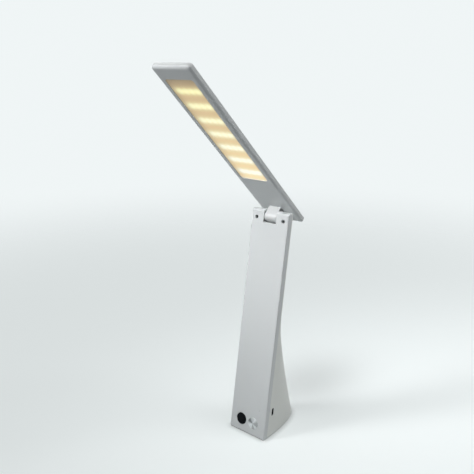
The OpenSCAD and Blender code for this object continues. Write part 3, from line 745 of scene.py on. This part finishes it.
def back_at(z):
    if z >= CURVE_TOP:
        return z * LEAN_RISE + SLAB_DEPTH
    if z <= CURVE_FOOT:
        return FOOT_DEPTH - z * FLARE_SLOPE
    return CURVE_Y - math.sqrt(FLARE_R ** 2 - (z - CURVE_Z) ** 2)


print("the flare bends between z %.1f and %.1f mm" % (CURVE_FOOT, CURVE_TOP))

# %% Rings of the rear moulding
FOOT_POWER, SLAB_POWER = 2.2, 4.0
FOOT_STEPS, BEND_STEPS, SLAB_STEPS = 24, 32, 8


def parting_at(z):
    return z * LEAN_RISE + AXIS_DEPTH / math.cos(LEAN)


def outline_power(z):
    share = (back_at(z) - z * LEAN_RISE - SLAB_DEPTH) / (FOOT_DEPTH - SLAB_DEPTH)
    return SLAB_POWER + (FOOT_POWER - SLAB_POWER) * math.sqrt(min(1.0, max(0.0, share)))


def column_ring(z, inset, lead=0.0, steps=80):
    """Half superellipse behind the parting line; lead carries its ends forward of that line."""
    power = 2 / outline_power(z)
    near, far = parting_at(z), back_at(z) - inset / math.cos(FLARE)
    width = HALF_W - inset
    ring = []
    for k in range(steps + 1):
        turn_by = math.radians(-90 + 180 * k / steps)
        side, back = math.sin(turn_by), max(0.0, math.cos(turn_by))
        ring.append((-math.copysign(width * abs(side) ** power, side),
                     FRONT_Y + near + (far - near) * back ** power, z))
    if lead:
        ring = ([(ring[0][0], FRONT_Y + near - lead, z)] + ring
                + [(ring[-1][0], FRONT_Y + near - lead, z)])
    return ring


def column_levels(low, high):
    foot = [low + (CURVE_FOOT - low) * k / FOOT_STEPS for k in range(FOOT_STEPS)]
    bend = [CURVE_FOOT + (CURVE_TOP - CURVE_FOOT) * k / BEND_STEPS for k in range(BEND_STEPS + 1)]
    slab = [CURVE_TOP + (high - CURVE_TOP) * k / SLAB_STEPS for k in range(1, SLAB_STEPS + 1)]
    return foot + bend + slab


print("powers at the foot and at the top: %.2f, %.2f" % (outline_power(0), outline_power(AXIS_Z)))

# %% [markdown]
# The hollow is carved before the notch, so that the notch keeps its walls. The charging slot is
# a flat round-ended bar pushed in from the side, and two pillars inside take the ear screws.

# %% Rear moulding, hollowed
TOP_Z, ROOM_FOOT = AXIS_Z + 2 * EAR_R, -3.0
rear = skin("rear_moulding", [column_ring(z, 0) for z in column_levels(SOLE_GAP, TOP_Z)])
room = skin("room", [column_ring(z, WALL, lead=CLEAR) for z in column_levels(ROOM_FOOT, TOP_Z)])
carve(room, moved(ear_block(WALL), IN_COLUMN), operation="INTERSECT")
carve(room, moved(notch_block(NOTCH_WALL), IN_COLUMN))
carve(rear, room)
print("the hollow rear has", len(rear.data.polygons), "faces")

# %% Rear moulding, drilled and softened
PORT_RISE, PORT_DEPTH, PORT_L, PORT_H = 32.0, 11.7, 8.94, 3.26
PORT_GAP, PORT_FROM, PORT_TO = 0.12, 22.4, 30
PILLAR_R, PILLAR_END, PILOT_END, THREAD_GAP = 2.7, COLUMN_T - 0.9, COLUMN_T - 1.0, 0.02


def port_bar(grow, x_low, x_high):
    radius = PORT_H / 2 + grow
    reach = PORT_L / 2 + grow - radius
    outline = arc((PORT_DEPTH, PORT_RISE + reach), radius, 0, 180, 20)
    outline += arc((PORT_DEPTH, PORT_RISE - reach), radius, 180, 360, 20)
    return extrude("port_bar", outline, x_low, x_high, along="x")


carve(rear, *front_pegs("pillar", PILLAR_R, AXIS_DEPTH, PILLAR_END, EARS, within=IN_COLUMN),
      operation="UNION")
carve(rear, moved(ear_block(0), IN_COLUMN), operation="INTERSECT")
carve(rear, moved(notch_block(0), IN_COLUMN),
      moved(port_bar(PORT_GAP, PORT_FROM, PORT_TO), IN_COLUMN),
      *front_pegs("pilot", SHANK_R + THREAD_GAP, 0, PILOT_END, EARS, SMALL_STEPS, IN_COLUMN),
      pin_bore(PIN_WAY_R, IN_COLUMN @ PIN_PLACE))
shade(soften(rear, SHELL_EDGE), 30)
seat(rear, "column", rear_shell, "rear_shell", "rear_cover")

# %% [markdown]
# ## The sole
# The pad under the foot stands a little inside the shell, which leaves the thin dark line that
# the lamp seems to float on. It is the foot's own outline, extruded, with its lower edge
# softened.

# %% Sole pad
SOLE_INSET, SOLE_EDGE = 0.9, 0.15
sole_ring = [(x, y) for x, y, _ in column_ring(0.0, SOLE_INSET)]
sole_front = FRONT_Y + SOLE_INSET
sole_outline = [(sole_ring[0][0], sole_front)] + sole_ring + [(sole_ring[-1][0], sole_front)]
sole = extrude("sole", sole_outline, 0.0, SOLE_GAP)
shade(soften(sole, SOLE_EDGE, 2))
seat(sole, "column", sole_rubber, "rubber", "sole_pad")

# %% [markdown]
# ## The keys
# The keys are turned shapes, so a profile says everything: a gentle crown, a rounded rim, a
# straight side and the flange that holds the key behind the wall. The second key has a ring
# sunk in its face and is brushed outwards from its middle, as a watch dial is. Such a sunray
# shows a few bright and dark sectors in its reflections; here they are painted reflections in
# the key's colour, from a noise that is read on a circle round the key's middle, with finer
# hairs of the brushing.

# %% Sunray metal with painted reflections
PAINTED_SECTOR_REACH, PAINTED_SECTOR_CONTRAST, HAIR_REACH = 1.1, 3.2, 0.05
PAINTED_SECTOR_SHARE, HAIR_SHARE, DARKER = 0.85, 0.3, 0.08


def sunray(name, dark, light, middle):
    finish = Finish(name, Metallic=1.0)
    spoke = finish.vector("SUBTRACT", finish.upright(middle, LEAN), middle)
    circle = finish.vector("NORMALIZE", finish.vector("MULTIPLY", spoke, (1.0, 0.0, 1.0)))
    # the bright and dark sectors are painted reflections, put into the key's colour
    painted_reflection_sectors = (finish.noise(PAINTED_SECTOR_REACH, 0.0, circle) - 0.5) * PAINTED_SECTOR_CONTRAST + 0.5
    hairs = finish.noise(HAIR_REACH, 2.0, circle)
    share = (painted_reflection_sectors.limited() * PAINTED_SECTOR_SHARE + hairs * HAIR_SHARE - DARKER).limited()
    finish.feed("Base Color", finish.mix(share, tint(*dark), tint(*light)))
    finish.wander(hairs, around=0.295, by=0.15)
    finish.bump(hairs, 10 * MICRON, 0.3)
    return finish.material


key_middle = (IN_COLUMN @ Vector((KEY_X[1], 0, KEY_RISE))) * MM
silver_key_painted_reflections = sunray("key_sunray_painted_reflections", (0.16, 0.17, 0.175), (0.74, 0.76, 0.77), key_middle)
print("sunray about", [round(v, 4) for v in key_middle])

# %% Keys
CROWN, RIM_R, KEY_REST = 0.6, 0.5, 1.9
FLANGE, FLANGE_T = 1.0, 0.8
STEM_R, STEM_END = 1.4, 4.17

key_face = [(0, -CROWN), (KEY_R * 0.45, 0.015 - CROWN), (KEY_R * 0.8, 0.06 - CROWN)]
key_side = arc((KEY_R - RIM_R, RIM_R - CROWN + 0.09), RIM_R, -75, 0, 8)
key_side += [(KEY_R, KEY_REST), (KEY_R + FLANGE, KEY_REST), (KEY_R + FLANGE, KEY_REST + FLANGE_T),
             (STEM_R, KEY_REST + FLANGE_T), (STEM_R, STEM_END), (0, STEM_END)]
power = moved(turn("power_key_cap", key_face + key_side), IN_COLUMN @ into_front(*KEYS[0]))
seat(shade(power, 50), "power_key", key_black, "black_key", "power_key")

sunk_ring = [(0, -0.6), (4.3, -0.585), (4.45, -0.56), (4.55, -0.33), (4.95, -0.33), (5.05, -0.54)]
mode_profile = sunk_ring + key_face[2:] + key_side
mode = moved(turn("mode_key_cap", mode_profile), IN_COLUMN @ into_front(*KEYS[1]))
seat(shade(mode, 50), "mode_key", silver_key_painted_reflections, "ring_key", "mode_key")

# %% [markdown]
# ## Light pipe and charging socket
# A clear pin carries the light of a diode on the board to a pinhole over the keys, and it is
# turned as they are. The socket is a folded steel tube with a tongue in it, and both are seen
# end on, so a bar with a hollow and a softened block are enough. The tube's lip comes nearly up
# to the shell, as it does in the photograph.

# %% Light pipe
pipe_profile = [(0, 0.15), (0.3, 0.17), (LENS_R, 0.3), (LENS_R, BOARD_FRONT), (0, BOARD_FRONT)]
pipe = moved(turn("light_pipe", pipe_profile, SMALL_STEPS),
             IN_COLUMN @ into_front(LENS_X, LENS_RISE))
seat(shade(pipe), "column", clear_lens, "clear_plastic", "indicator_lens")

# %% Charging socket
PORT_MOUTH, PORT_LIP = HALF_W - WALL - 0.15, 24.7
SOCKET_L, SOCKET_WALL, SOCKET_EDGE = 7.3, 0.3, 0.06
TONGUE_T, TONGUE_EDGE = 0.7, 0.12
port_end, tongue_half = PORT_MOUTH - SOCKET_L, PORT_L / 2 - 1.2
socket = port_bar(0, port_end, PORT_LIP)
carve(socket, port_bar(-SOCKET_WALL, port_end + 2 * SOCKET_WALL, PORT_LIP + 1))
tongue = block("tongue",
               (port_end + SOCKET_WALL, PORT_DEPTH - TONGUE_T / 2, PORT_RISE - tongue_half),
               (PORT_MOUTH - SOCKET_WALL, PORT_DEPTH + TONGUE_T / 2, PORT_RISE + tongue_half))
carve(socket, soften(tongue, TONGUE_EDGE, 2), operation="UNION")
moved(shade(soften(socket, SOCKET_EDGE, 2)), IN_COLUMN)
# the socket's nearly black steel is painted shade of the deep slot
seat(socket, "column", socket_steel_painted_dark, "port_metal", "charge_port")

# %% [markdown]
# ## Screws
# Two small screws sit deep in round recesses of the ears. A domed head with a cross recess is
# turned and then carved with two crossed bars.

# %% Ear screws
SCREW_END = COLUMN_T - 1.2
SLOT_REACH, SLOT_HALF, SLOT_TOP, SLOT_FLOOR = 1.15, 0.24, 1.5, 2.9
HEAD_EDGE = 0.04
screw_profile = [(0, 2.1), (1.0, 2.14), (1.6, 2.3), (1.9, 2.6), (1.9, RECESS_DEPTH),
                 (SHANK_R, RECESS_DEPTH), (SHANK_R, SCREW_END), (0, SCREW_END)]


def cross_screw(name, x, rise):
    screw = turn(name, screw_profile, 48)
    for wide, deep in ((SLOT_REACH, SLOT_HALF), (SLOT_HALF, SLOT_REACH)):
        carve(screw, block("slot", (-wide, -deep, SLOT_TOP), (wide, deep, SLOT_FLOOR)))
    return moved(shade(soften(screw, HEAD_EDGE, 2)), IN_COLUMN @ into_front(x, rise))


for name, place in zip(("ear_screw_left", "ear_screw_right"), EARS):
    seat(cross_screw(name, *place), "column", dark_steel, "screws", "ear_screws")

# %% [markdown]
# ## The hinge knuckle
# A barrel between the ears and a neck that carries the head are one moulding. The barrel is
# turned, the neck is a bar with round corners, and they are joined before the pin hole is
# bored.

# %% Hinge knuckle
KNUCKLE_W, KNUCKLE_EDGE, PIN_R = 16.2, 0.8, 1.51
side, turned_r = KNUCKLE_W / 2, BARREL_R - KNUCKLE_EDGE
barrel_profile = [(0, -side)] + arc((turned_r, KNUCKLE_EDGE - side), KNUCKLE_EDGE, -90, 0, 8)
barrel_profile += arc((turned_r, side - KNUCKLE_EDGE), KNUCKLE_EDGE, 0, 90, 8) + [(0, side)]
knuckle = moved(turn("hinge_knuckle_cap", barrel_profile, 128), ACROSS)
# the neck is a hair thinner than the barrel and ends short of the head, so no faces coincide
neck_outline = round_box(KNUCKLE_W, 2 * BARREL_R - 0.004, KNUCKLE_EDGE, 8)
carve(knuckle, moved(extrude("neck", neck_outline, 0, LIT_Y - 0.01), INTO_FACE), operation="UNION")
carve(knuckle, pin_bore(PIN_R, Matrix()))
moved(knuckle, IN_HEAD)
seat(shade(knuckle, 35), "head", knuckle_shell, "front_shell", "hinge_knuckle")

# %% [markdown]
# ## The head's two shells
# One skin with round corners, as wide as the column, is parted into two mouldings. Both are
# stacks of rounded rectangles, so a section of inset and height describes them: over the rim,
# round the large edge, across the face and, on the lower one, down into the window and back
# along the inside. The lower moulding's rim is rounded and stands a hair proud of the cover, so
# that it catches the light as the pale line along the head's side.

# %% Rings of the head
HEAD_W, HEAD_TAIL, HEAD_CORNER = 50.0, 21.5, 4.0
HEAD_L, HEAD_MIDDLE = HEAD_REACH + HEAD_TAIL, (HEAD_REACH - HEAD_TAIL) / 2
PANEL_W, PANEL_CORNER, LEAST_CORNER = 35.0, 3.0, 0.3


def tray_ring(width, length, corner, height, middle):
    outline = round_box(width, length, max(corner, LEAST_CORNER), 12)
    return [(x, height, middle + z) for x, z in outline]


def head_rings(section):
    """Rings of the head's outline, one for each inset and height of a section."""
    return [tray_ring(HEAD_W - 2 * inset, HEAD_L - 2 * inset, HEAD_CORNER - inset, height,
                      HEAD_MIDDLE) for inset, height in section]


def panel_ring(grow, height):
    return tray_ring(PANEL_W + 2 * grow, PANEL_L + 2 * grow, PANEL_CORNER + grow, height,
                     PANEL_MIDDLE)


print("the head is %.1f mm long and the window %.1f mm" % (HEAD_L, PANEL_L))

# %% Lower head shell
HEAD_WALL, FRAME_H = 1.4, 2.4
FACE_EDGE, RIM = 3.6, 0.4
PART_Y = LIT_Y + FRAME_H
# the angle at which the large edge runs into the rim's small one
MEETING = 270 - math.degrees(math.acos((FACE_EDGE + RIM - FRAME_H) / (FACE_EDGE - RIM)))
rim_in = FACE_EDGE + (FACE_EDGE - RIM) * math.cos(math.radians(MEETING))
inner_edge = FACE_EDGE - HEAD_WALL
inner_end = 270 - math.degrees(math.acos(1 - (FRAME_H - HEAD_WALL) / inner_edge))
edge_middle = (FACE_EDGE, LIT_Y + FACE_EDGE)

lower_rings = head_rings(arc((rim_in, PART_Y - RIM), RIM, 90, MEETING, 8)
                         + arc(edge_middle, FACE_EDGE, MEETING, 270, 12)[1:])
lower_rings += [panel_ring(grow, LIT_Y + depth)
                for grow, depth in ((0.15, 0), (0.04, 0.05), (0, 0.15), (0, HEAD_WALL))]
lower_rings += head_rings(arc(edge_middle, inner_edge, 270, inner_end, 5))
lower = moved(skin("head_lower_shell", lower_rings, joined=True), IN_HEAD)
seat(shade(lower, 35), "head", head_shell, "front_shell", "head_frame")

# %% Upper head shell
COVER_EDGE, COVER_BACK, COVER_CHAMFER, INNER_CHAMFER = 1.2, 0.5, 0.1, 0.8
TOP_Y = LIT_Y + HEAD_T
upper_section = [(HEAD_WALL + INNER_CHAMFER, TOP_Y - HEAD_WALL),
                 (HEAD_WALL, TOP_Y - HEAD_WALL - INNER_CHAMFER), (HEAD_WALL, PART_Y),
                 (COVER_BACK + COVER_CHAMFER, PART_Y), (COVER_BACK, PART_Y + COVER_CHAMFER)]
upper_section += arc((COVER_BACK + COVER_EDGE, TOP_Y - COVER_EDGE), COVER_EDGE, 180, 90, 10)
upper = moved(skin("head_upper_shell", head_rings(upper_section)), IN_HEAD)
seat(shade(upper, 35), "head", head_cover, "rear_shell", "head_cover")

# %% [markdown]
# ## The milky sheet
# The sheet lies in the window a hair below the face, and a flange behind the shell holds it. It
# could be one flat face, but its rounded rim shows as a fine line round the glow, so it is a
# stack of rings too. Its section gives how far each ring grows past the window, and how deep.

# %% Diffuser
SHEET_SECTION = ((-0.45, 0.2), (-0.24, 0.26), (-0.15, 0.45), (-0.15, HEAD_WALL), (1.5, HEAD_WALL),
                 (1.5, HEAD_WALL + 1))
LIT_DEPTH = 0.5
sheet_rings = [panel_ring(grow, LIT_Y + depth) for grow, depth in SHEET_SECTION]
milky = moved(skin("milky_sheet", sheet_rings), IN_HEAD)
seat(shade(milky, 35), "head", lit_panel, "diffuser", "diffuser")

# only the face that shows is lit; the rim and the back are plain, so no light is looked for there
milky.data.materials.append(white_plastic)
for polygon in milky.data.polygons:
    height = (IN_HEAD.inverted() @ (polygon.center / MM)).y
    polygon.material_index = int(height > LIT_Y + LIT_DEPTH)
lit_panel.cycles.emission_sampling = "FRONT"
print("lit faces:", sum(p.material_index == 0 for p in milky.data.polygons))

# %% [markdown]
# ## Finishes for the hidden pieces
# The pieces inside keep their solid shapes, which are right as they are, and only need
# finishes.

# %% Hidden pieces
HIDDEN = {
    "base_plate": inner_plastic, "ballast_plate": plated_steel, "base_screws": dark_steel,
    "battery_cell": cell_sleeve, "battery_cradle": inner_plastic, "main_board": board_resist,
    "board_screws": dark_steel, "key_switches": inner_plastic, "column_lead": lead_sleeve,
    "hinge_bracket": plated_steel, "hinge_pin": plated_steel, "friction_washers": plated_steel,
    "hinge_nuts": plated_steel, "knuckle_screws": dark_steel, "reflector_tray": white_plastic,
    "light_board": light_board_coat, "light_chips": chip_phosphor, "head_lead": lead_sleeve,
}
for node, finish in HIDDEN.items():
    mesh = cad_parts[node].data
    mesh.materials.clear()
    mesh.materials.append(finish)
print("hidden pieces with a finish:", len(HIDDEN))

# %% [markdown]
# ## Floor and backdrop
# A product studio puts its subject on a pale sweep of paper without a horizon. Here a flat
# floor fades out with distance into an even backdrop. To the camera, and in what is mirrored,
# the floor glows a little, which makes it pale without more light on the lamp, while its own
# dim paper still shows the lamp's shadow. The glow is darkened in two places as painted shadow,
# so that the foot stands on the paper: a painted contact shade in a narrow line where the sole
# nearly touches it, and a broad soft painted shadow behind the foot.

# %% What the camera sees
BACKDROP = (0.870, 0.915, 0.920)


def seen_by_camera(wiring):
    """1 for what the camera sees, straight, mirrored or through glass, and 0 for other light."""
    path = wiring.node("ShaderNodeLightPath", output="Is Camera Ray")
    seen = path
    for ray in ("Is Glossy Ray", "Is Transmission Ray"):
        seen = wiring.math("MAXIMUM", seen, path.beside(ray))
    return seen


print("the backdrop is", BACKDROP)

# %% Paper
FLOOR_GLOW = tint(0.560, 0.595, 0.595)
SEEN_PAPER, LIT_PAPER = (0.30, 0.315, 0.315), tint(0.55, 0.57, 0.57)
PAPER_CLOUD, CLOUD_LIFT = 0.5, 1.03
CONTACT_REACH, CONTACT_RAYS = 0.007, 8
# where, how wide and how deep the painted shadow behind the foot lies
SHADE_AT, SHADE_REACH, SHADE_DEPTH = (-0.012, 0.105, 0.0), (0.055, 0.085, 1.0), 0.38
FADE_FROM, FADE_TO = 0.35, 1.6


def studio_paper(name):
    paper = Finish(name, Roughness=0.9, Specular_IOR_Level=0.0, Emission_Strength=1.0)
    seen = seen_by_camera(paper)
    cloud = paper.noise(PAPER_CLOUD, 2.0)
    shown = paper.mix(cloud, tint(*SEEN_PAPER), shaded(SEEN_PAPER, CLOUD_LIFT))
    paper.feed("Base Color", paper.mix(seen, LIT_PAPER, shown))

    # the glow is darkened as painted shade: near the sole by an occlusion node, and by a painted
    # shadow patch behind the foot
    openness_for_painted_shade = paper.node("ShaderNodeAmbientOcclusion", {"samples": CONTACT_RAYS},
                          {"Distance": CONTACT_REACH}, "AO")
    behind = paper.node("ShaderNodeMapping", {"vector_type": "TEXTURE"},
                        {"Vector": paper.place, "Location": SHADE_AT, "Scale": SHADE_REACH})
    painted_shadow_patch = paper.vector("LENGTH", behind, output="Value").bell()
    glow = paper.mix(openness_for_painted_shade * (1 - painted_shadow_patch * SHADE_DEPTH), UNLIT, FLOOR_GLOW)
    paper.feed("Emission Color", paper.mix(seen, UNLIT, glow))

    distance = paper.vector("LENGTH", paper.place, output="Value")
    gone = paper.node("ShaderNodeMapRange", {"interpolation_type": "SMOOTHERSTEP"},
                      {"Value": distance, "From Min": FADE_FROM, "From Max": FADE_TO})
    paper.feed("Alpha", 1 - gone * seen)
    return paper.material


paper_material = studio_paper("studio_paper")
print("paper fades between", FADE_FROM, "and", FADE_TO, "m from the lamp")

# %% Floor
FLOOR_REACH = 4.0
work = bmesh.new()
corners = [(-FLOOR_REACH, -FLOOR_REACH), (FLOOR_REACH, -FLOOR_REACH),
           (FLOOR_REACH, FLOOR_REACH), (-FLOOR_REACH, FLOOR_REACH)]
work.faces.new([work.verts.new((x, y, 0.0)) for x, y in corners])
floor = new_piece("studio_floor", work)
floor.data.materials.append(paper_material)
floor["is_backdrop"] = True
print("the floor is", 2 * FLOOR_REACH, "m wide")

# %% [markdown]
# ## Light
# Soft light comes from large discs, as it does from a photographer's soft boxes, and from an
# even sky all round. The lamp's own lit panel is the light on its column's face, so no strong
# lamp stands in front: two stand high on the right and behind, and one small box with a grid on
# it, which keeps its beam narrow, only lifts the face a little.

# %% Lamps
LOOK_AT = Vector((0.0, 0.0, 0.22))
# name, place, width in metres, spread in degrees and watts
LAMPS = (("side_lamp", (1.2, 0.2, 1.4), 0.8, 180, 3.2),
         ("high_lamp", (0.9, 0.5, 1.6), 0.8, 180, 13.2),
         ("front_lamp", (-0.5, -0.7, 0.8), 0.4, 28, 0.59))


def soft_lamp(name, place, size, spread, watts):
    light = bpy.data.lights.new(name, "AREA")
    light.shape, light.size, light.energy = "DISK", size, watts
    light.spread = math.radians(spread)
    lamp = bpy.data.objects.new(name, light)
    bpy.context.scene.collection.objects.link(lamp)
    lamp.location = place
    lamp.rotation_euler = (LOOK_AT - Vector(place)).to_track_quat("-Z", "Y").to_euler()


for lamp_facts in LAMPS:
    soft_lamp(*lamp_facts)

# %% World
SKY, SKY_STRENGTH = tint(0.97, 0.99, 1.0), 0.19
world = bpy.data.worlds.new("studio")
studio = Wiring(world)
backdrop = studio.node("ShaderNodeBackground", {}, {"Color": tint(*BACKDROP)})
sky = studio.node("ShaderNodeBackground", {}, {"Color": SKY, "Strength": SKY_STRENGTH})
around = studio.node("ShaderNodeMixShader", {}, {0: seen_by_camera(studio), 1: sky, 2: backdrop})
studio.node("ShaderNodeOutputWorld", {}, {"Surface": around})
bpy.context.scene.world = world
bpy.context.scene.view_settings.view_transform = "Standard"
print("sky strength", SKY_STRENGTH, "in", len(studio.tree.nodes), "nodes")

# %% [markdown]
# ## Sizes
# Both boxes, of the solids and of the dressed lamp, are printed in millimetres.

# %% Print the sizes and end
new_low, new_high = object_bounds()
sizes = {"cad": [list(cad_low), list(cad_high)], "visual": [list(new_low), list(new_high)]}
for name, box in sizes.items():
    print(name, "box in mm:", [[round(v / MM, 2) for v in corner] for corner in box])
